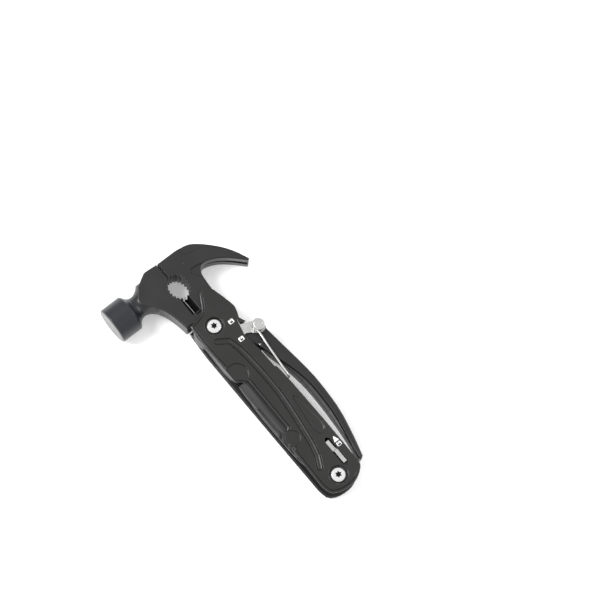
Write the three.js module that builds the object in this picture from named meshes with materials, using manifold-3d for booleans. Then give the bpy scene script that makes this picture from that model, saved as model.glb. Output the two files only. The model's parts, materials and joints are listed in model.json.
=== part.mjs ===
// Claw-hammer multi tool: two crossing jaws on one pivot, a handle of two shells that holds
// folding tools, a curved squeeze lever and a swinging lock plate. Millimetres, +Z up, head at +Y.
// It is drawn around the main pivot and set down on its lowest point at the end.
import * as THREE from 'three';
import { mergeVertices } from 'three/addons/utils/BufferGeometryUtils.js';
import Module from 'manifold-3d';

const wasm = await Module();
wasm.setup();

// ---- driving dimensions ----
const GAP = 0.3;                  // clearance between neighbouring pieces
const SHELL_TOP = 8.5;            // half the thickness of the handle over its shells
const SHELL_THICK = 1.5;
const SHELL_IN = SHELL_TOP - SHELL_THICK;
const LINER_TOP = SHELL_IN - GAP;
const LINER_THICK = 0.8;
const LINER_IN = LINER_TOP - LINER_THICK;
const JAW_HALF = 6.4;             // half the thickness of the head
const LAP_R = 10.9;               // radius of the half-thickness discs around the pivot
const LEVER_HALF = 5.2;
const SPLIT_X = -2.2;             // plane where the two jaws meet
const TOOTH_PITCH = 1.5;
const TOOTH_DEPTH = 0.5;
const REAR_Y = -101.4;            // axis of the folding tools, under the main pivot
const BOLT_R = 2.6;
const BOLT_HOLE_R = 3;
const HEAD_R = 3.85;              // screw heads
const POLL_R = 10.3;
const POLL_Y = 34.9;
const RIVET = [18.3, -14.4];      // pivot of the lock plate, on the lever
const PLATE_BASE = LEVER_HALF + GAP;
const PLATE_THICK = 1.2;
const PLATE_TOP = PLATE_BASE + PLATE_THICK;
const WIRE_R = 0.65;
const SCREW_FLOOR = SHELL_IN - 0.05;

// ---- solids ----
function solid(geometry) {
  const bare = geometry.index ? geometry.toNonIndexed() : geometry.clone();
  for (const name of Object.keys(bare.attributes)) {
    if (name !== 'position') bare.deleteAttribute(name);
  }
  const merged = mergeVertices(bare, 1e-4);
  return new wasm.Manifold(new wasm.Mesh({
    numProp: 3,
    vertProperties: new Float32Array(merged.attributes.position.array),
    triVerts: new Uint32Array(merged.index.array),
  }));
}

// A leg that is one point is a straight line; a leg that is a list is a smooth curve.
function outline(start, legs) {
  const shape = new THREE.Shape();
  shape.moveTo(...start);
  for (const leg of legs) {
    if (typeof leg[0] === 'number') shape.lineTo(...leg);
    else shape.splineThru(leg.map(([x, y]) => new THREE.Vector2(x, y)));
  }
  return shape;
}

// The outline moved inward by inset, corner by corner.
function shrink(points, inset) {
  return points.map((point, i) => {
    const before = points[(i + points.length - 1) % points.length];
    const after = points[(i + 1) % points.length];
    const a = point.clone().sub(before).normalize();
    const b = after.clone().sub(point).normalize();
    const inward = new THREE.Vector2(-a.y - b.y, a.x + b.x).normalize();
    const lean = Math.max(0.5, inward.x * -a.y + inward.y * a.x);
    return point.clone().addScaledVector(inward, inset / lean);
  });
}

// A flat plate from z0 to z1. round rolls its rims over by that much, in steps facets.
function plate(shape, z0, z1, { round = 0, steps = 1, fine = 2 } = {}) {
  const points = shape.getPoints(fine);
  if (points[0].distanceTo(points[points.length - 1]) < 1e-6) points.pop();
  if (THREE.ShapeUtils.isClockWise(points)) points.reverse();
  const levels = [];
  for (let k = 0; k <= (round ? steps : 0); k += 1) {
    const turn = (Math.PI / 2) * (k / steps);
    levels.push([round * (1 - Math.sin(turn)), z0 + round * (1 - Math.cos(turn))]);
  }
  levels.push(...levels.map(([inset, z]) => [inset, z0 + z1 - z]).reverse());
  const corners = [];
  for (const [inset, z] of levels) {
    for (const at of shrink(points, inset)) corners.push(at.x, at.y, z);
  }
  const count = points.length;
  const last = (levels.length - 1) * count;
  const faces = [];
  for (const [a, b, c] of THREE.ShapeUtils.triangulateShape(points, [])) {
    faces.push(a, c, b, last + a, last + b, last + c);
  }
  for (let row = 0; row < last; row += count) {
    for (let i = 0; i < count; i += 1) {
      const j = (i + 1) % count;
      faces.push(row + i, row + j, row + count + j, row + i, row + count + j, row + count + i);
    }
  }
  const geometry = new THREE.BufferGeometry();
  geometry.setAttribute('position', new THREE.Float32BufferAttribute(corners, 3));
  geometry.setIndex(faces);
  return solid(geometry);
}

// A recess cutter with a dished wall: its outline shrinks by spread from the rim to the floor.
function recess(shape, floor, rim, spread) {
  const cutter = plate(shape, 0, 3 * spread, { round: spread, steps: 3, fine: 3 });
  return cutter.scale([1, 1, (rim - floor) / spread]).translate([0, 0, floor]);
}

function block(x0, x1, y0, y1, z0, z1) {
  const box = new THREE.BoxGeometry(x1 - x0, y1 - y0, z1 - z0);
  return solid(box.translate((x0 + x1) / 2, (y0 + y1) / 2, (z0 + z1) / 2));
}

function disc(radius, z0, z1, x = 0, y = 0, sides = 40) {
  const round = new THREE.CylinderGeometry(radius, radius, z1 - z0, sides);
  return solid(round.rotateX(Math.PI / 2).translate(x, y, (z0 + z1) / 2));
}

// A turned piece: profile is a list of [radius, height] that starts and ends on the axis.
function turned(profile, sides = 32) {
  const points = profile.map(([r, h]) => new THREE.Vector2(r, h));
  return solid(new THREE.LatheGeometry(points, sides).rotateX(Math.PI / 2));
}

function tube(points, radius, steps, sides = 8) {
  const path = new THREE.CatmullRomCurve3(points.map((p) => new THREE.Vector3(...p)));
  const section = new THREE.Shape().absarc(0, 0, radius, 0, 2 * Math.PI);
  return solid(new THREE.ExtrudeGeometry(section, {
    steps, extrudePath: path, curveSegments: sides / 2, bevelEnabled: false,
  }));
}

function both(piece) {
  return piece.add(piece.mirror([0, 0, 1]));
}

const HUGE = 90;
const upperHalf = block(-HUGE, HUGE, -HUGE * 2, HUGE, 0, HUGE);
const lowerHalf = upperHalf.mirror([0, 0, 1]);

const nodes = [];
function piece(name, body, finish) {
  nodes.push({ name, body, finish });
}

// ---- finishes ----
const finishes = {
  black: { color: 0x3a3b3c, roughness: 0.45, metalness: 0.7 },
  bright: { color: 0xd8d8d6, roughness: 0.25, metalness: 1 },
  tool: { color: 0x4a4a4a, roughness: 0.5, metalness: 0.8 },
  liner: { color: 0x2c2c2d, roughness: 0.5, metalness: 0.7 },
};

// ---- jaws ----
// Everything past the parting line of one jaw (side -1 hammer, +1 claw): the line is a row of
// teeth above the grip hole and straight below it.
function beyondParting(side) {
  const line = SPLIT_X + side * 0.3;
  const top = 48;
  const count = 18;
  const points = [];
  for (let i = 0; i <= count; i += 1) {
    points.push([line + (i % 2 ? TOOTH_DEPTH : -TOOTH_DEPTH), top - (i * TOOTH_PITCH) / 2]);
  }
  const far = SPLIT_X - side * 30;
  return plate(outline([far, top], [...points, [line, 8.2], [far, 8.2]]), -HUGE, HUGE);
}

const GRIP_TOP = 36.2;
const GRIP_BOTTOM = 21.4;
// The oval gripping hole, whose wall is a row of teeth.
function gripHole() {
  const centre = [SPLIT_X + 1.2, (GRIP_TOP + GRIP_BOTTOM) / 2];
  const points = [];
  const teeth = 20;
  for (let i = 0; i < 2 * teeth; i += 1) {
    const angle = (Math.PI * i) / teeth;
    const depth = i % 2 ? 1 : 0;
    points.push([
      centre[0] + (5.9 - depth) * Math.cos(angle),
      centre[1] + (7.6 - depth) * Math.sin(angle),
    ]);
  }
  return plate(outline(points[0], points.slice(1)), -HUGE, HUGE);
}

const gripCut = gripHole();
const LAP_CLEAR = 11.3;
const lapClear = disc(LAP_CLEAR, -HUGE, HUGE, 0, 0, 56);
const boltHole = disc(BOLT_HOLE_R, -HUGE, HUGE, 0, 0, 28);

// The wire cutter under the hole: notches from both faces that leave two edges at half thickness.
function wireCutter(side) {
  // side is -1 for the hammer jaw and +1 for the claw jaw
  const reach = 2.9;
  const points = [
    [SPLIT_X + side * 0.1, 0.4], [SPLIT_X + side * reach, JAW_HALF + 1],
    [SPLIT_X - side * 1, JAW_HALF + 1], [SPLIT_X - side * 1, 0.4],
  ];
  const wedge = new THREE.Shape(points.map(([x, z]) => new THREE.Vector2(x, z)));
  const bar = new THREE.ExtrudeGeometry(wedge, { depth: 10, bevelEnabled: false });
  const upper = solid(bar.rotateX(Math.PI / 2).translate(0, GRIP_BOTTOM + 0.6, 0));
  return both(upper);
}

// The lever's inner edge is bevelled away on both faces, which leaves a ridge near its outer edge.
const leverRidge = outline([10.5, -30], [
  [14.6, -30], [[17.6, -38], [20.4, -50], [21, -60], [20.2, -75], [17.8, -88], [15.2, -99]],
  [10, -99],
]);
const leverBevel = plate(leverRidge, LEVER_HALF - 3, LEVER_HALF + 3, { round: 3, steps: 2 })
  .translate([0, 0, 1]);

// Hammer jaw, neck, poll and squeeze lever are one forging.
{
  const head = outline([0, 45.6], [
    [0, 8], [-11.8, 8],
    [[-12.5, 13.5], [-14.4, 21.4], [-17.2, 27], [-19.4, 31.6], [-19.6, 36], [-18.6, 41.4]],
    [[-11.6, 45.6], [-9, 46.2], [-5, 45.9]],
  ]);
  const faceX = -41;
  const profile = [
    [0, 0], [9.6, 0], [POLL_R, 0.7], [POLL_R, 12], [9.7, 12.8], [7.7, 14.2],
    [6.6, 15.6], [6.2, 17.2], [6.3, 18.6], [6.9, 20.2], [8, 21.8], [9.6, 23.4], [9.6, 26], [0, 26],
  ];
  // the round neck is flattened where it runs into the head
  const neckEnd = block(faceX - 1, faceX + 16, 0, 60, -HUGE, HUGE)
    .add(block(faceX + 15, faceX + 30, 0, 60, -JAW_HALF, JAW_HALF));
  const poll = turned(profile, 40).rotate([0, 90, 0]).translate([faceX, POLL_Y, 0])
    .intersect(neckEnd);
  const headPlate = plate(head, -JAW_HALF, JAW_HALF, { round: 0.5 })
    .subtract(beyondParting(-1));
  const arm = outline([6, 6], [
    [11, -2.6], [[13.2, -5.2], [15.2, -9.4], [18.6, -10.2]],
    [[21.6, -11.6], [22.4, -14.4], [21.4, -17.6]],
    [[22.6, -30], [24.2, -46], [24.6, -58], [23.5, -75], [20.2, -90], [16.9, -101.6]],
    [15.2, -102.6], [14.4, -101.4],
    [[16.4, -88], [17.6, -74], [18, -60], [17.6, -50], [15.9, -38],
      [13.6, -28], [12.3, -23.6]],
    [[9, -17.6], [4, -11.4], [-3, -9]], [-3, 4],
  ]);
  const lever = plate(arm, -LEVER_HALF, LEVER_HALF, { round: 1, steps: 2 })
    .subtract(both(leverBevel));
  const lap = disc(LAP_R, GAP / 2, JAW_HALF, 0, 0, 56);
  const jaw = headPlate.add(poll).add(lever);
  const body = jaw.subtract(lapClear.intersect(lowerHalf))
    .subtract(block(-HUGE, HUGE, -13, 8, -HUGE, GAP / 2).intersect(lapClear))
    .add(lap)
    .subtract(gripCut)
    .subtract(wireCutter(-1))
    .subtract(boltHole)
    .subtract(disc(1.5, -HUGE, HUGE, ...RIVET, 16))
    .subtract(disc(0.8, 3, HUGE, 12.9, -22.4, 12));
  piece('hammer_jaw_lever', body, 'black');
}

// The claw jaw has its tang fixed between the shells.
{
  const head = outline([-4, 8.6], [
    [-4, 45.6], [10, 45.6],
    [[17, 44.4], [21.4, 41.8], [26.4, 37.2], [31.4, 31.4], [35.4, 25], [38.5, 17.8]],
    [37.4, 17.2],
    [[32, 22.8], [26.8, 27.3], [22, 30], [18, 31], [15.2, 30], [13.4, 27], [12.6, 21.6]],
    [12.2, 13], [10.6, 8.6],
  ]);
  const headPlate = plate(head, -JAW_HALF, JAW_HALF, { round: 0.5 })
    .subtract(beyondParting(1));
  const lap = disc(LAP_R, -JAW_HALF, -GAP / 2, 0, 0, 56);
  const tangHalf = LINER_IN - GAP;
  const tang = plate(outline([-9.6, 2], [
    [-10.2, -20], [[-9.4, -28], [-6, -31.2], [-2, -30]], [2.4, -20], [3, -8],
  ]), -tangHalf, tangHalf, { round: 0.3 });
  // the notch that pulls nails: a V between two prongs, widest at the tips
  const vee = new THREE.Shape([[0, 0], [26, -1.9], [26, 1.9]]
    .map(([x, z]) => new THREE.Vector2(x, z)));
  const notch = solid(new THREE.ExtrudeGeometry(vee, { depth: 40, bevelEnabled: false })
    .translate(0, 0, -20).rotateX(Math.PI / 2)).rotate([0, 0, -52]).translate([22.2, 38.8, 0]);
  // ground facets that thin the claw toward its outer edge
  const outer = plate(outline([10, 48], [
    [[12.4, 41.2], [16.4, 39.8], [21.8, 38.3], [27.2, 34.2], [32.2, 28.2], [36.6, 19.6]],
    [48, 18], [48, 48],
  ]), JAW_HALF - 0.45, 20);
  const throat = plate(outline([18.6, 31.2], [
    [[14, 32.2], [10.2, 32.3], [9, 30.7], [9.6, 29], [12.3, 25.2]], [21, 23.6],
  ]), JAW_HALF - 0.8, 20);
  const dimple = disc(0.5, JAW_HALF - 0.3, 20, 8.6, 37.6, 12);
  const body = headPlate.subtract(lapClear.intersect(upperHalf))
    .add(lap)
    .add(tang.subtract(lapClear.intersect(block(-HUGE, HUGE, -HUGE, HUGE, -GAP / 2, HUGE))))
    .subtract(gripCut)
    .subtract(wireCutter(1))
    .subtract(both(outer)).subtract(both(throat)).subtract(dimple)
    .subtract(notch)
    .subtract(boltHole);
  piece('claw_jaw', body, 'black');
}

// ---- handle shells ----
const coverRim = [
  [[-10.4, 6.2], [-9, 7.6], [-5, 8.3], [-2, 9.2], [0, 10.8], [1.7, 13.2], [3.2, 16], [5, 18.8],
    [6.8, 19.9], [8.8, 19.6], [10.8, 18.2], [12.2, 16], [13.6, 11.2], [15.1, 4.8], [15.4, 1.5],
    [14.4, -2], [13.4, -4]],
  [11.6, -4.9], [9.5, -13.3], [9.9, -17],
  [[10.7, -25], [11, -36.5]], [11.9, -37.6],
  [[12.6, -50], [13, -75], [12.8, -100], [11.6, -105.4], [6, -109.1], [1, -109.9],
    [-5, -109], [-9.6, -106], [-10.9, -100]],
];
// The top cover is cut away over the tools, between two finger scallops; the bottom one isn't.
const cutAway = [
  [-10.4, -77.2], [-9.3, -77],
  [[-9.8, -71], [-8.5, -68.6], [-6, -67]],
  [-5, -66], [-5, -34.4], [-6.2, -33],
  [[-7.6, -31.4], [-9.9, -30]],
];
const topOutline = outline([-11, -8], [...coverRim, ...cutAway]);
const bottomOutline = outline([-11.4, -8], [...coverRim, [-11.2, -60]]);

// The long curved channel pressed into each cover, as a ribbon around its middle line.
function ribbon(points, halfWidth) {
  const curve = new THREE.CatmullRomCurve3(points.map(([x, y]) => new THREE.Vector3(x, y, 0)));
  const left = [];
  const right = [];
  const steps = 14;
  for (let i = 0; i <= steps; i += 1) {
    const at = curve.getPointAt(i / steps);
    const along = curve.getTangentAt(i / steps);
    left.push([at.x - along.y * halfWidth, at.y + along.x * halfWidth]);
    right.unshift([at.x + along.y * halfWidth, at.y - along.x * halfWidth]);
  }
  const end = (at, from) => {
    const turn = Math.atan2(from[1] - at.y, from[0] - at.x);
    return [1, 2, 3].map((i) => [
      at.x + halfWidth * Math.cos(turn - (i * Math.PI) / 4),
      at.y + halfWidth * Math.sin(turn - (i * Math.PI) / 4),
    ]);
  };
  const far = end(curve.getPointAt(1), left[left.length - 1]);
  const near = end(curve.getPointAt(0), right[right.length - 1]);
  return outline(left[0], [...left.slice(1), ...far, ...right, ...near]);
}

const channel = recess(ribbon([
  [-4.3, -7.9], [-1, -9.8], [1.6, -12.4], [2.5, -18], [3.6, -35], [3.5, -50], [1.2, -70],
  [-2, -86.5], [-5.2, -92.8],
], 1.75), SHELL_TOP - 1.15, SHELL_TOP + 0.05, 1.45);
const thumbDip = recess(outline([7.4, -55], [
  [[8.8, -54.4], [10.6, -60], [11.6, -76], [8.2, -79.6], [5, -77], [6.2, -64]],
]), SHELL_TOP - 1.15, SHELL_TOP + 0.1, 1.15);
// The edges roll over toward the sides: a wedge takes the right side down along its whole length.
const rollOver = block(0, 40, -130, 40, 0, 10).rotate([0, 6, 0]).translate([5.3, 0, SHELL_TOP - 0.03]);
const upperScallop = disc(6.2, SHELL_TOP - 0.95, 20, -7.4, -28, 32);
const lowerScallop = disc(4.6, SHELL_TOP - 0.95, 20, -6.8, -72, 28);
const slotShape = outline([5.2, -84], [
  [[6.85, -82.6], [8.5, -84]], [8.5, -99], [[6.85, -100.6], [5.2, -99]],
]);

// A fine pressed line runs along the rim of each cover, RIM inside its edge.
const RIM = 1.15;
const RIM_WIDTH = 0.55;
const RIM_DEPTH = 0.4;
function rimLine(shape) {
  const points = shape.getPoints(2);
  if (THREE.ShapeUtils.isClockWise(points)) points.reverse();
  const ring = (inset, low) => plate(new THREE.Shape(shrink(points, inset)), low, 20);
  return ring(RIM, SHELL_TOP - RIM_DEPTH).subtract(ring(RIM + RIM_WIDTH, 0));
}

function cover(shape) {
  const shell = plate(shape, SHELL_IN, SHELL_TOP, { round: 0.7, steps: 2 });
  let body = shell.subtract(rollOver).subtract(channel).subtract(thumbDip)
    .subtract(rimLine(shape));
  for (const y of [0, REAR_Y]) {
    body = body.subtract(disc(HEAD_R + 0.75, -HUGE, HUGE, 0, y, 32));
    const mouth = new THREE.CylinderGeometry(5.6, 4.7, 1, 32).rotateX(Math.PI / 2);
    body = body.subtract(solid(mouth.translate(0, y, SHELL_TOP - 0.2)));
  }
  return body;
}
const slot = plate(slotShape, -HUGE, HUGE, { fine: 5 });
piece('top_shell', cover(topOutline).subtract(upperScallop).subtract(lowerScallop)
  .subtract(slot.intersect(upperHalf)), 'black');
piece('bottom_shell', cover(bottomOutline).mirror([0, 0, 1]), 'black');

// ---- liners ----
const linerRim = [
  [2, -16], [6, -25.5], [10.4, -26.4], [10.6, -36.5], [11.4, -38],
  [[12, -50], [12.4, -75], [12.2, -99], [11, -105], [6, -108.4], [1, -109.2], [-5, -108.2],
    [-9, -105.6], [-10.3, -100]],
];
const topLinerOutline = outline([-10.6, -15], [
  ...linerRim, [-9.9, -77.4], [[-9, -71], [-6.8, -67.6]], [-5.9, -65.4], [-5.9, -34.8],
  [-7.8, -32], [-10.2, -30.4],
]);
const bottomLinerOutline = outline([-10.8, -15], linerRim);
const linerHole = disc(BOLT_HOLE_R, -HUGE, HUGE, 0, REAR_Y, 28);
const liner = (shape) => plate(shape, LINER_IN, LINER_TOP).subtract(linerHole);
const barSlot = block(5.4, 8.4, -99.2, -80.8, -HUGE, HUGE);
piece('top_liner', liner(topLinerOutline).subtract(barSlot.intersect(upperHalf)), 'liner');
piece('bottom_liner', liner(bottomLinerOutline).mirror([0, 0, 1]), 'liner');

// ---- bolts: a screw from the top into a sleeve nut from below ----
const STAR_R = 1.9;
function starCut(top) {
  const arms = 6;
  const points = [];
  for (let i = 0; i < 2 * arms; i += 1) {
    const r = i % 2 ? STAR_R * 0.62 : STAR_R;
    points.push([r * Math.cos((Math.PI * i) / arms), r * Math.sin((Math.PI * i) / arms)]);
  }
  return plate(outline(points[0], points.slice(1)), top - 1.2, top + 1);
}
const HEAD_TOP = SHELL_TOP - 0.25;
function boltPair(place, y) {
  const seat = SCREW_FLOOR;
  const screw = turned([
    [0, -4], [1.6, -4], [1.6, seat], [HEAD_R, seat], [HEAD_R, HEAD_TOP - 0.5],
    [HEAD_R - 0.6, HEAD_TOP - 0.05], [1.8, HEAD_TOP], [0, HEAD_TOP],
  ]).subtract(starCut(HEAD_TOP)).translate([0, y, 0]);
  const nut = turned([
    [0, -HEAD_TOP], [HEAD_R - 0.6, -HEAD_TOP], [HEAD_R, -HEAD_TOP + 0.5], [HEAD_R, -seat],
    [BOLT_R, -seat], [BOLT_R, seat - GAP], [2, seat - GAP], [2, -5], [0, -5],
  ]).translate([0, y, 0]);
  piece(`${place}_screw`, screw, 'bright');
  piece(`${place}_sleeve_nut`, nut, 'bright');
}
boltPair('pivot', 0);
boltPair('rear', REAR_Y);

// ---- folding tools: six layers on the rear bolt, drawn pointing at the head ----
const LAYERS = 6;
const LAYER = (2 * LINER_IN) / LAYERS;
const TANG = 5;                   // half width of a tool at the rear bolt
const layerBase = (index) => LINER_IN - (index + 1) * LAYER + GAP / 2;
const layerTop = (index) => LINER_IN - index * LAYER - GAP / 2;

// The tang is round about the bolt, with a flat back where the back spring presses.
function foldingTool(name, index, blade, cuts = []) {
  const z0 = layerBase(index);
  const z1 = layerTop(index);
  let body = plate(blade, z0, z1).add(disc(TANG, z0, z1, 0, REAR_Y, 32))
    .subtract(disc(BOLT_HOLE_R, -HUGE, HUGE, 0, REAR_Y, 28));
  for (const cut of cuts) body = body.subtract(cut);
  piece(name, body, 'tool');
}

function nick(x, y0, y1, index) {
  return block(x - 0.4, x + 0.4, y0, y1, layerTop(index) - 0.4, layerTop(index) + 0.1);
}

foldingTool('can_opener', 0, outline([4, -99], [
  [3, -70], [2.4, -34], [-1, -32.6], [-10.2, -33.4], [-10.7, -40], [-10.5, -47.4], [-8.9, -49.5],
  [-8.7, -64.5], [-6, -72], [-4.6, -99],
]), [nick(-8.3, -44, -34, 0)]);
foldingTool('saw_blade', 1, outline([4, -99], [
  [3, -60], [1, -46], [-9.3, -46], [-10.4, -48], [-10.5, -66.8], [-9, -65.6], [-8, -70], [-4.6, -99],
]), [nick(-9.2, -63, -52, 1)]);
function sawTeeth() {
  const points = [[-9, -36]];
  const count = 18;
  for (let i = 0; i <= count; i += 1) {
    points.push([-10 + (i % 2), -36 - i * 2.4]);
  }
  return points;
}
foldingTool('wood_saw', 2, outline([4, -99], [
  [3, -40], [-2, -34], ...sawTeeth(), [-5, -90], [-4.6, -99],
]));
foldingTool('knife_blade', 3, outline([4, -99], [
  [3.4, -60], [[2.6, -46], [-1, -38], [-6, -33]],
  [[-9.6, -42], [-10.4, -56], [-10, -80], [-8.4, -88]], [-5, -92], [-4.6, -99],
]));
foldingTool('screwdriver_flat', 4, outline([4, -99], [
  [3, -90], [0.4, -84], [0.4, -58], [1.2, -52], [1.2, -48], [-5.4, -48], [-5.4, -52],
  [-4.6, -58], [-4.6, -84], [-4.6, -99],
]));
foldingTool('screwdriver_cross', 5, outline([4, -99], [
  [3, -90], [1, -84], [1, -50], [-1.4, -46], [-2.8, -46], [-5.2, -50], [-5.2, -84], [-4.6, -99],
]));

// The back spring lies along the closed side and stops every tool.
piece('back_spring', plate(outline([10.6, -25.4], [
  [11.6, -25.6], [11.8, -37], [[12, -60], [12, -94]], [6.6, -94], [6.6, -91], [9.6, -88],
  [[9.6, -60], [9.9, -37]],
]), -LINER_IN + GAP, LINER_IN - GAP), 'bright');

// ---- blade lock slider in the rear slot ----
piece('lock_bar', block(5.7, 7.8, -90.4, -84.2, LINER_IN + 0.1, LINER_TOP), 'bright');
const button = block(6, 8.1, -98.6, -90.7, LINER_IN + 0.1, SHELL_TOP - 0.2);
const grooves = [0, 1, 2].map((i) => block(5, 9, -96.6 + i * 1.6, -96 + i * 1.6, 7.9, 9));
piece('lock_button', grooves.reduce((rest, cut) => rest.subtract(cut), button), 'bright');

// ---- jaw lock: catch on the handle, plate on the lever ----
piece('latch_catch', plate(outline([11.6, 2], [
  [14, 1.4], [14.5, -1.2], [13.3, -4.3], [14.9, -8.1], [12.2, -6.9], [12.4, -4.9], [11.5, -1.6],
]), PLATE_BASE, SHELL_IN - GAP / 2), 'black');

const lockShape = outline([11.9, -4.4], [
  [11.4, -7.7], [[15.2, -9.2], [18, -10.4], [20.6, -11.4]],
  [[22.2, -13.6], [21.2, -17], [18.3, -18.2], [15.4, -17]],
  [[13, -14.6], [11, -13.4]], [8.8, -13.3], [8.9, -10], [11.2, -4.6],
]);
piece('lock_plate', plate(lockShape, PLATE_BASE, PLATE_TOP, { fine: 3 })
  .subtract(disc(1.5, -HUGE, HUGE, ...RIVET, 16)), 'bright');
const RIVET_TOP = 11.8;
piece('lock_rivet', turned([
  [0, -LEVER_HALF + 0.6], [1.2, -LEVER_HALF + 0.6], [1.2, RIVET_TOP - 1.3],
  [3.2, RIVET_TOP - 1.3], [3.3, RIVET_TOP - 0.5], [2.9, RIVET_TOP - 0.1],
  [2.3, RIVET_TOP], [2.15, RIVET_TOP - 0.25], [0, RIVET_TOP - 0.25],
], 28).translate([...RIVET, 0]), 'bright');
piece('spring_pin', disc(0.5, 3.4, LEVER_HALF + 0.5, 12.9, -22.4, 12), 'bright');

// Torsion spring: turns around the rivet, one long leg that bears on the edge of the handle.
{
  const turns = 1.3;
  const coilR = 2.15;
  const pitch = 1.45;
  const perTurn = 14;
  const count = Math.round(turns * perTurn);
  const coilBase = PLATE_TOP + GAP + WIRE_R;
  const points = [];
  for (let i = 0; i <= count; i += 1) {
    const left = count - i;
    const angle = Math.PI * 1.06 - (2 * Math.PI * left) / perTurn;
    points.push([
      RIVET[0] + coilR * Math.cos(angle), RIVET[1] + coilR * Math.sin(angle),
      coilBase + (pitch * left) / perTurn,
    ]);
  }
  const leg = [
    [16.2, -18, coilBase], [15.4, -25, coilBase - 0.2], [14.5, -36, 6.8],
    [13.95, -43.6, 6.2], [13.85, -45, 5.2], [13.85, -45.2, 2.6],
  ];
  piece('lock_spring', tube([...points, ...leg], WIRE_R, 64), 'bright');
}

// ---- the assembly, standing on its lowest point over the middle of its outline ----
const assembly = new THREE.Group();
for (const { name, body, finish } of nodes) {
  const mesh = body.simplify(0.004).getMesh();
  const geometry = new THREE.BufferGeometry();
  const corners = mesh.vertProperties;
  geometry.setAttribute('position', new THREE.BufferAttribute(new Float32Array(corners), 3));
  geometry.setIndex([...mesh.triVerts]);
  geometry.computeVertexNormals();
  const part = new THREE.Mesh(geometry, new THREE.MeshStandardMaterial(finishes[finish]));
  part.name = name;
  assembly.add(part);
}
const extent = new THREE.Box3().setFromObject(assembly);
assembly.position.set(
  -(extent.min.x + extent.max.x) / 2,
  -(extent.min.y + extent.max.y) / 2,
  -extent.min.z,
);

export default assembly;
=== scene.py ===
"""Claw-hammer multi tool on a pale table: looks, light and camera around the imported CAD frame."""
import json
import math
import bmesh
import bpy
from mathutils import Matrix, Vector

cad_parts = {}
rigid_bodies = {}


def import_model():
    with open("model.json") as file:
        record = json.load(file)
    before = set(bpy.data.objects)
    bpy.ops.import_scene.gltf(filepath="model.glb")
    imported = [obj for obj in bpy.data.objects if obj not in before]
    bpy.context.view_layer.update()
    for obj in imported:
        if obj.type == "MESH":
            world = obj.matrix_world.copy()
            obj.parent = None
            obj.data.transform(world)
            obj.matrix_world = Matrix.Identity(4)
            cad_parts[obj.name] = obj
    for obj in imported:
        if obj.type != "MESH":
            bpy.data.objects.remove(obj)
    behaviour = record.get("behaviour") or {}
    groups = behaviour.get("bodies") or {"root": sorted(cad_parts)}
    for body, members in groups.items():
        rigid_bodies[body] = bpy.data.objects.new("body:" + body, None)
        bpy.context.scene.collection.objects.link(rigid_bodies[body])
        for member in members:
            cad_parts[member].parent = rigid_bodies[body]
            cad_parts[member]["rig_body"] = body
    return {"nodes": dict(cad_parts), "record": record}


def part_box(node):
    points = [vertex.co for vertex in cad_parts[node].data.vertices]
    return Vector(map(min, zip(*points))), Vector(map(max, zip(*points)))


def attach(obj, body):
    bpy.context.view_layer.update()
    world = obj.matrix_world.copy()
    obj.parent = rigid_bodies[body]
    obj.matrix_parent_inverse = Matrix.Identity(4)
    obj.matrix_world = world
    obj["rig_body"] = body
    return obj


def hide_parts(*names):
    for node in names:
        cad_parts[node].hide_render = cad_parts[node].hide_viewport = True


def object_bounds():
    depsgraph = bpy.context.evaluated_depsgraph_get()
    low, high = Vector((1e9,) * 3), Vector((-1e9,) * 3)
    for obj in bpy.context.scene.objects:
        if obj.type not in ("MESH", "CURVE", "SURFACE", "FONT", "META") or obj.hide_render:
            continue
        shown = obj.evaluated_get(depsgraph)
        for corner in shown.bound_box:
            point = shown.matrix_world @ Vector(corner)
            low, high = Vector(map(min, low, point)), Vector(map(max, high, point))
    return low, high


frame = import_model()
cad_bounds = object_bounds()
nodes = frame["nodes"]
MM = 0.001

# ---- places, from the frame ----
def middle(node):
    low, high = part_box(node)
    return (Vector(low) + Vector(high)) / 2


pivot = middle("pivot_screw")
rear = middle("rear_screw")
shell_low, shell_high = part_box("top_shell")
face_z = shell_high[2]
LEFT_OF_ROLL = 5.3 * MM          # the cover's face rolls down to the right of this line
ROLL = math.radians(6)


# ---- camera ----
HANDLE_TURN = math.radians(39.8)  # how far the handle leans left of upright in the picture
DISTANCE = 0.85
LENS = 97.0
LEAN_RIGHT = 0.037               # how far the line of sight leans from straight down
LEAN_UP = 0.245
AIM_RIGHT = 0.0254               # the picture's middle, from the tool's middle
AIM_UP = 0.0424


def add_camera():
    up = Vector((math.sin(HANDLE_TURN), math.cos(HANDLE_TURN), 0))
    right = Vector((math.cos(HANDLE_TURN), -math.sin(HANDLE_TURN), 0))
    tool = (Vector(cad_bounds[0]) + Vector(cad_bounds[1])) / 2
    sight = (Vector((0, 0, 1)) - right * LEAN_RIGHT - up * LEAN_UP).normalized()
    place = tool + sight * DISTANCE
    aim = tool + right * AIM_RIGHT + up * AIM_UP
    back = (place - aim).normalized()
    across = up.cross(back).normalized()
    over = back.cross(across)
    turn = Matrix((across, over, back)).transposed().to_4x4()
    data = bpy.data.cameras.new("camera")
    data.lens = LENS
    camera = bpy.data.objects.new("camera", data)
    camera.matrix_world = Matrix.Translation(place) @ turn
    bpy.context.scene.collection.objects.link(camera)
    bpy.context.scene.camera = camera


add_camera()


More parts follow.
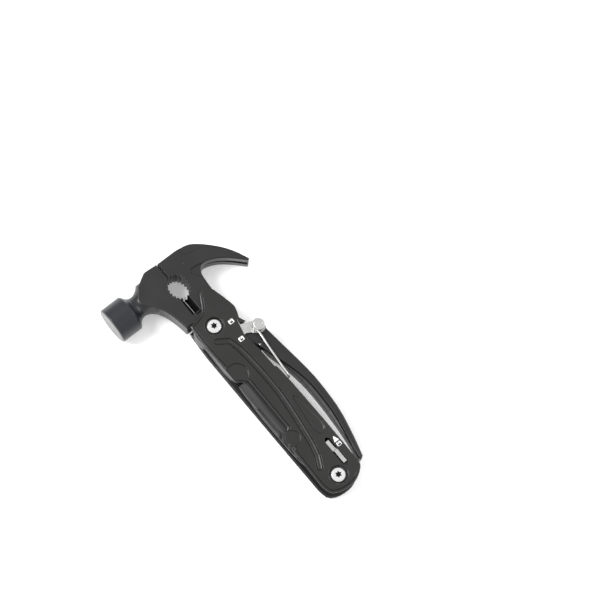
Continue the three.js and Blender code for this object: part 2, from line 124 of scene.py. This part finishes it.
# ---- materials ----
class Shader:
    """A material with one Principled shader and helpers that hang nodes on it."""

    def __init__(self, name, **sockets):
        self.material = bpy.data.materials.new(name)
        self.material.use_nodes = True
        self.tree = self.material.node_tree
        self.shader = self.tree.nodes["Principled BSDF"]
        for socket, value in sockets.items():
            self.shader.inputs[socket.replace("_", " ")].default_value = value

    def node(self, kind, **inputs):
        made = self.tree.nodes.new(kind)
        for socket, value in inputs.items():
            target = made.inputs[socket.replace("_", " ")]
            if isinstance(value, bpy.types.NodeSocket):
                self.tree.links.new(value, target)
            else:
                target.default_value = value
        return made

    def link(self, output, socket):
        self.tree.links.new(output, self.shader.inputs[socket])

    def place(self):
        return self.node("ShaderNodeTexCoord").outputs["Object"]

    def noise(self, scale, detail=3, stretch=None):
        vector = self.place()
        if stretch:
            mapping = self.node("ShaderNodeMapping", Vector=vector)
            mapping.inputs["Scale"].default_value = stretch
            vector = mapping.outputs[0]
        return self.node("ShaderNodeTexNoise", Vector=vector, Scale=scale, Detail=detail).outputs[0]

    def band(self, value, low, high, start, end):
        made = self.node("ShaderNodeMapRange", Value=value)
        for socket, number in zip(("From Min", "From Max", "To Min", "To Max"), (low, high, start, end)):
            made.inputs[socket].default_value = number
        return made.outputs[0]

    def mix(self, factor, a, b):
        made = self.tree.nodes.new("ShaderNodeMix")
        made.data_type = "RGBA"
        for socket, value in zip((made.inputs[0], made.inputs[6], made.inputs[7]), (factor, a, b)):
            if isinstance(value, bpy.types.NodeSocket):
                self.tree.links.new(value, socket)
            else:
                socket.default_value = value
        return made.outputs[2]

    def bump(self, height, strength, distance):
        made = self.node("ShaderNodeBump", Height=height, Strength=strength, Distance=distance)
        self.link(made.outputs[0], "Normal")


def gray(value, tint=(1, 1, 1)):
    return (value * tint[0], value * tint[1], value * tint[2], 1)


def coated_steel(name, shade, rough, tint=(1, 1, 1), painted_edge_highlight=0.3):
    """Satin black coating: a fine grain, soft cloudy patches, corners painted paler as a painted edge
    highlight, and creases given less specular as painted shade.
    """
    coat = Shader(name, Metallic=0.1)
    clouds = coat.noise(60)
    curve = coat.node("ShaderNodeNewGeometry").outputs["Pointiness"]
    # painted edge highlight: convex corners are mixed towards a paler gray
    corners = coat.band(curve, 0.54, 0.66, 0, painted_edge_highlight)
    base = coat.mix(clouds, gray(shade * 0.85, tint), gray(shade * 1.2, tint))
    coat.link(coat.mix(corners, base, gray(0.12, tint)), "Base Color")
    # painted shade: concave creases get far less specular, so they read dark
    coat.link(coat.band(curve, 0.41, 0.49, 0.04, 0.5), "Specular IOR Level")
    coat.link(coat.band(clouds, 0.3, 0.7, rough - 0.04, rough + 0.05), "Roughness")
    coat.bump(coat.noise(5200, 2), 0.1, 0.00003)
    return coat


def forged_black():
    """The head's coating, darker and bluer on the poll, with the ground gray of the striking face."""
    coat = coated_steel("forged_black", 0.009, 0.33)
    axes = coat.node("ShaderNodeSeparateXYZ", Vector=coat.place()).outputs
    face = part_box("hammer_jaw_lever")[0][0]
    old = coat.shader.inputs["Base Color"].links[0].from_socket
    poll = coat.band(axes[0], face + 14 * MM, face + 20 * MM, 1, 0)
    blue = coat.mix(poll, old, gray(0.014, (0.85, 0.95, 1.3)))
    strike = coat.band(axes[0], face + 0.35 * MM, face + 0.6 * MM, 1, 0)
    coat.link(coat.mix(strike, blue, gray(0.13)), "Base Color")
    return coat.material


def bright_steel():
    """Nickel-plated steel with a little cloudiness."""
    steel = Shader("bright_steel", Metallic=1.0)
    clouds = steel.noise(400)
    steel.link(steel.mix(clouds, gray(0.5), gray(0.66, (1, 1, 0.97))), "Base Color")
    steel.link(steel.band(clouds, 0.3, 0.7, 0.24, 0.3), "Roughness")
    return steel.material


def bolt_steel():
    """Bright steel on the head's face, painted near black down in the recess and the bore as painted
    shade.
    """
    steel = Shader("bolt_steel", Metallic=1.0, Roughness=0.25)
    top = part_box("pivot_screw")[1][2]
    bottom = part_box("pivot_sleeve_nut")[0][2]
    height = steel.node("ShaderNodeSeparateXYZ", Vector=steel.place()).outputs[2]
    # painted shade: near black between the head's face and the nut's underside, so the recess, bore and
    # side walls read dark
    upper = steel.band(height, top - 0.75 * MM, top - 0.45 * MM, 0, 1)
    lower = steel.band(height, bottom + 0.45 * MM, bottom + 0.75 * MM, 1, 0)
    steel.link(steel.mix(upper, steel.mix(lower, gray(0.02), gray(0.85)), gray(0.85)), "Base Color")
    return steel.material


def tool_steel():
    """Black oxide over steel brushed along the blade."""
    steel = Shader("tool_steel", Metallic=0.7)
    brushed = steel.noise(900, 2, stretch=(1, 0.05, 1))
    steel.link(steel.mix(brushed, gray(0.035), gray(0.085)), "Base Color")
    steel.link(steel.band(brushed, 0.3, 0.7, 0.33, 0.5), "Roughness")
    steel.bump(brushed, 0.15, 0.00004)
    return steel.material


def ink(name, shade, rough):
    print_ink = Shader(name)
    speckle = print_ink.noise(3000, 2)
    print_ink.link(print_ink.mix(speckle, gray(shade * 0.9), gray(shade)), "Base Color")
    print_ink.link(print_ink.band(speckle, 0.3, 0.7, rough - 0.05, rough + 0.05), "Roughness")
    return print_ink.material


looks = {
    "forged_black": forged_black(),
    "shell_black": coated_steel("shell_black", 0.012, 0.27, (1, 1, 0.95), 0.6).material,
    "liner_black": coated_steel("liner_black", 0.01, 0.35, painted_edge_highlight=0.6).material,
    "bright_steel": bright_steel(),
    "tool_steel": tool_steel(),
}
BOLTS = ("pivot_screw", "pivot_sleeve_nut", "rear_screw", "rear_sleeve_nut")
bolt_look = bolt_steel()
white_ink = ink("white_ink", 0.85, 0.5)
dark_ink = ink("dark_ink", 0.03, 0.5)


# ---- CAD pieces ----
slot_of = {part["node"]: part["material_slot"] for part in frame["record"]["subparts"]}
# voxel size in mm for each forged or pressed piece
FORGED = {"hammer_jaw_lever": 0.16, "claw_jaw": 0.16, "top_shell": 0.15, "bottom_shell": 0.2}
SOFTEN_ROUNDS = 2
WELD = 0.000002                  # corners closer than this are one
BROKEN_EDGE = 0.00012            # width of the bevel on machined pieces


def paint(obj, material):
    obj.data.materials.clear()
    obj.data.materials.append(material)


def applied(obj):
    """obj's mesh with its modifiers applied."""
    return bpy.data.meshes.new_from_object(obj.evaluated_get(bpy.context.evaluated_depsgraph_get()))


def softened(node, voxel):
    """A forged or pressed piece: the CAD solid resurfaced finely, its corners eased by smoothing."""
    source = nodes[node]
    piece = bpy.data.objects.new(node + "_surface", source.data.copy())
    bpy.context.scene.collection.objects.link(piece)
    weld = piece.modifiers.new("weld", "WELD")
    weld.merge_threshold = WELD
    remesh = piece.modifiers.new("remesh", "REMESH")
    remesh.mode = "VOXEL"
    remesh.voxel_size = voxel * MM
    smooth = piece.modifiers.new("smooth", "SMOOTH")
    smooth.factor = 0.5
    smooth.iterations = SOFTEN_ROUNDS
    piece.data = applied(piece)
    piece.modifiers.clear()
    piece.data.shade_smooth()
    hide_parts(node)
    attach(piece, source["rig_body"])
    paint(piece, looks[slot_of[node]])
    return piece


def eased(node):
    """A small machined piece: the CAD solid with its sharp edges broken."""
    obj = nodes[node]
    paint(obj, bolt_look if node in BOLTS else looks[slot_of[node]])
    weld = obj.modifiers.new("weld", "WELD")
    weld.merge_threshold = WELD
    bevel = obj.modifiers.new("bevel", "BEVEL")
    bevel.width = BROKEN_EDGE
    bevel.segments = 2
    bevel.limit_method = "ANGLE"
    bevel.angle_limit = math.radians(35)


for node in nodes:
    if node in FORGED:
        softened(node, FORGED[node])
    else:
        eased(node)


# ---- printed marks ----
INK = 0.00005                    # thickness of the print


def mark(name, outline_mm, x, y, lift, material):
    """A printed shape on the top cover: outline_mm in millimetres around (x, y) from the pivot."""
    z = face_z - max(0, x * MM - LEFT_OF_ROLL) * math.tan(ROLL)
    mesh = bmesh.new()
    low = [mesh.verts.new((px * MM, py * MM, 0)) for px, py in outline_mm]
    face = mesh.faces.new(low)
    raised = bmesh.ops.extrude_face_region(mesh, geom=[face])["geom"]
    top = [item for item in raised if isinstance(item, bmesh.types.BMVert)]
    bmesh.ops.translate(mesh, verts=top, vec=(0, 0, INK))
    bmesh.ops.recalc_face_normals(mesh, faces=mesh.faces)
    data = bpy.data.meshes.new(name)
    tilt = Matrix.Rotation(ROLL if x * MM > LEFT_OF_ROLL else 0, 4, "Y")
    place = Matrix.Translation((pivot.x + x * MM, pivot.y + y * MM, z + lift * INK))
    mesh.transform(place @ tilt)
    mesh.to_mesh(data)
    mesh.free()
    obj = bpy.data.objects.new(name, data)
    bpy.context.scene.collection.objects.link(obj)
    paint(obj, material)
    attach(obj, "handle")


def rounded(width, height, corner):
    points = []
    for i, (sx, sy) in enumerate(((1, 1), (-1, 1), (-1, -1), (1, -1))):
        for step in range(4):
            angle = math.pi / 2 * (i + step / 3)
            points.append((sx * (width / 2 - corner) + corner * math.cos(angle),
                           sy * (height / 2 - corner) + corner * math.sin(angle)))
    return points


def moved(points, dx, dy):
    return [(x + dx, y + dy) for x, y in points]


def shackle(closed):
    """The bow of a padlock: an arch, its right leg lifted clear when the lock is open."""
    outer, inner = 0.62, 0.36
    arch = [math.pi * i / 8 for i in range(9)]
    points = [(outer * math.cos(a), outer * math.sin(a)) for a in arch] + [(-outer, -0.5), (-inner, -0.5)]
    points += [(inner * math.cos(a), inner * math.sin(a)) for a in reversed(arch)]
    reach = -0.5 if closed else 0.0
    return points + [(inner, reach), (outer, reach)]


def padlock(name, x, y, closed, wide=3.0, high=2.4):
    mark(name + "_patch", rounded(wide, high, 0.5), x, y, 0.5, white_ink)
    mark(name + "_body", moved(rounded(1.7, 0.95, 0.2), 0, -0.45), x, y, 1.6, dark_ink)
    mark(name + "_bow", moved(shackle(closed), 0, 0.4), x, y, 1.6, dark_ink)


padlock("lock_mark", 8.4, -3.8, True)
padlock("unlock_mark", 6.6, -14.5, False)
padlock("tool_lock_mark", 10.6, -89.3, True, 2.6, 2.2)
ARROW = [(-1.45, -1.45), (1.45, -1.45), (0.25, 1.5), (-0.25, 1.5)]
mark("tool_lock_arrow", ARROW, 10.6, -86.1, 0.5, white_ink)


# ---- table and light ----
def add_table():
    mesh = bmesh.new()
    bmesh.ops.create_grid(mesh, x_segments=1, y_segments=1, size=4)
    data = bpy.data.meshes.new("table")
    mesh.to_mesh(data)
    mesh.free()
    table = bpy.data.objects.new("table", data)
    bpy.context.scene.collection.objects.link(table)
    surface = Shader("table", Roughness=0.8, Emission_Color=(1, 1, 1, 1), Emission_Strength=0.25)
    clouds = surface.noise(8)
    surface.link(surface.mix(clouds, gray(0.86), gray(0.88)), "Base Color")
    paint(table, surface.material)


def add_light(name, place, size, power):
    data = bpy.data.lights.new(name, "AREA")
    data.shape = "RECTANGLE"
    data.size, data.size_y = size
    data.energy = power
    light = bpy.data.objects.new(name, data)
    light.location = place
    light.rotation_euler = (Vector((0, 0, 0)) - Vector(place)).to_track_quat("-Z", "Y").to_euler()
    bpy.context.scene.collection.objects.link(light)


add_table()
add_light("softbox", (-0.55, 0.6, 1.1), (0.5, 0.5), 14)
add_light("fill", (0.9, -0.5, 0.9), (0.8, 0.8), 5)
world = bpy.data.worlds.new("studio")
world.use_nodes = True
world.node_tree.nodes["Background"].inputs["Color"].default_value = (1, 1, 1, 1)
world.node_tree.nodes["Background"].inputs["Strength"].default_value = 0.92
bpy.context.scene.world = world
bpy.context.scene.view_settings.view_transform = "Standard"
